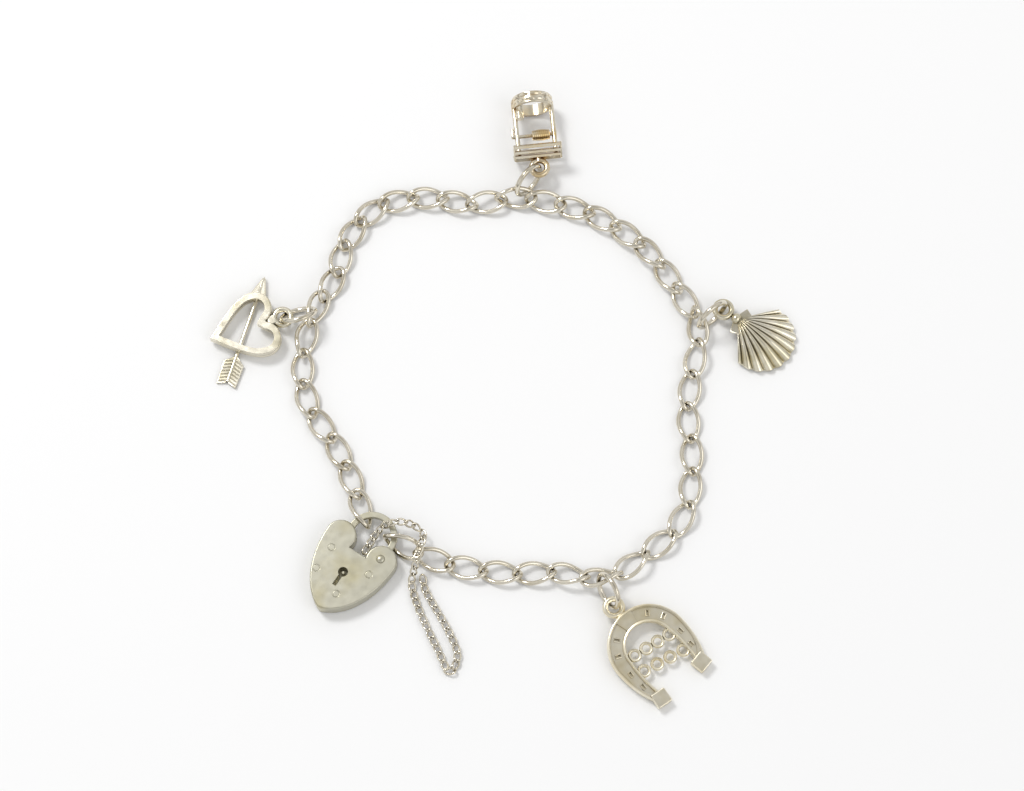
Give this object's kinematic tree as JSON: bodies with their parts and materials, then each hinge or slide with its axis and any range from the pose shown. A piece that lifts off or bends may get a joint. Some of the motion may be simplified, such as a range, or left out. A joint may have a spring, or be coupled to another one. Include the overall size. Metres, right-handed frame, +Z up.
{
  "type": "charm bracelet",
  "caption": "Silver curb-link bracelet lying in a loop, closed by a heart padlock with a safety chain, with horseshoe, shell, wishing well and heart charms on jump rings.",
  "frame": {"origin": "centre of the bracelet's bounding box, on the surface it lies on", "axes": "+Z up from the surface, +Y along the longest extent, from the horseshoe to the wishing well"},
  "size_m": [0.0856, 0.0928, 0.0063],
  "materials": {
    "chain_silver": "polished silver wire, slightly warm",
    "lock_silver": "satin silver with light tarnish",
    "charm_silver": "cast silver, darkened in its recesses",
    "charm_gilt": "silver with worn gilding"
  },
  "bodies": {
    "bracelet": {"link_01": "chain_silver", "link_02": "chain_silver", "link_03": "chain_silver", "link_04": "chain_silver", "link_05": "chain_silver", "link_06": "chain_silver", "link_07": "chain_silver", "link_08": "chain_silver", "link_09": "chain_silver", "link_10": "chain_silver", "link_11": "chain_silver", "link_12": "chain_silver", "link_13": "chain_silver", "link_14": "chain_silver", "link_15": "chain_silver", "link_16": "chain_silver", "link_17": "chain_silver", "link_18": "chain_silver", "link_19": "chain_silver", "link_20": "chain_silver", "link_21": "chain_silver", "link_22": "chain_silver", "link_23": "chain_silver", "link_24": "chain_silver", "link_25": "chain_silver", "link_26": "chain_silver", "link_27": "chain_silver", "link_28": "chain_silver", "link_29": "chain_silver", "link_30": "chain_silver", "link_31": "chain_silver", "link_32": "chain_silver", "link_33": "chain_silver", "link_34": "chain_silver", "link_35": "chain_silver", "link_36": "chain_silver", "link_37": "chain_silver", "link_38": "chain_silver", "link_39": "chain_silver", "link_40": "chain_silver", "padlock_case": "lock_silver", "safety_chain": "chain_silver", "jump_ring_horseshoe": "chain_silver", "jump_ring_shell": "chain_silver", "jump_ring_well": "chain_silver", "jump_ring_heart": "chain_silver", "charm_horseshoe": "charm_silver", "charm_shell": "charm_silver", "charm_well": "charm_gilt", "charm_heart": "charm_silver"},
    "shackle": {"padlock_shackle": "lock_silver"}
  },
  "joints": [
    {"name": "shackle_hinge", "type": "hinge", "parent": "bracelet", "child": "shackle", "pos_m": [-0.01735, -0.02494, 0.00129], "axis": [0, 0, -1], "range_deg": [0, 18]}
  ]
}
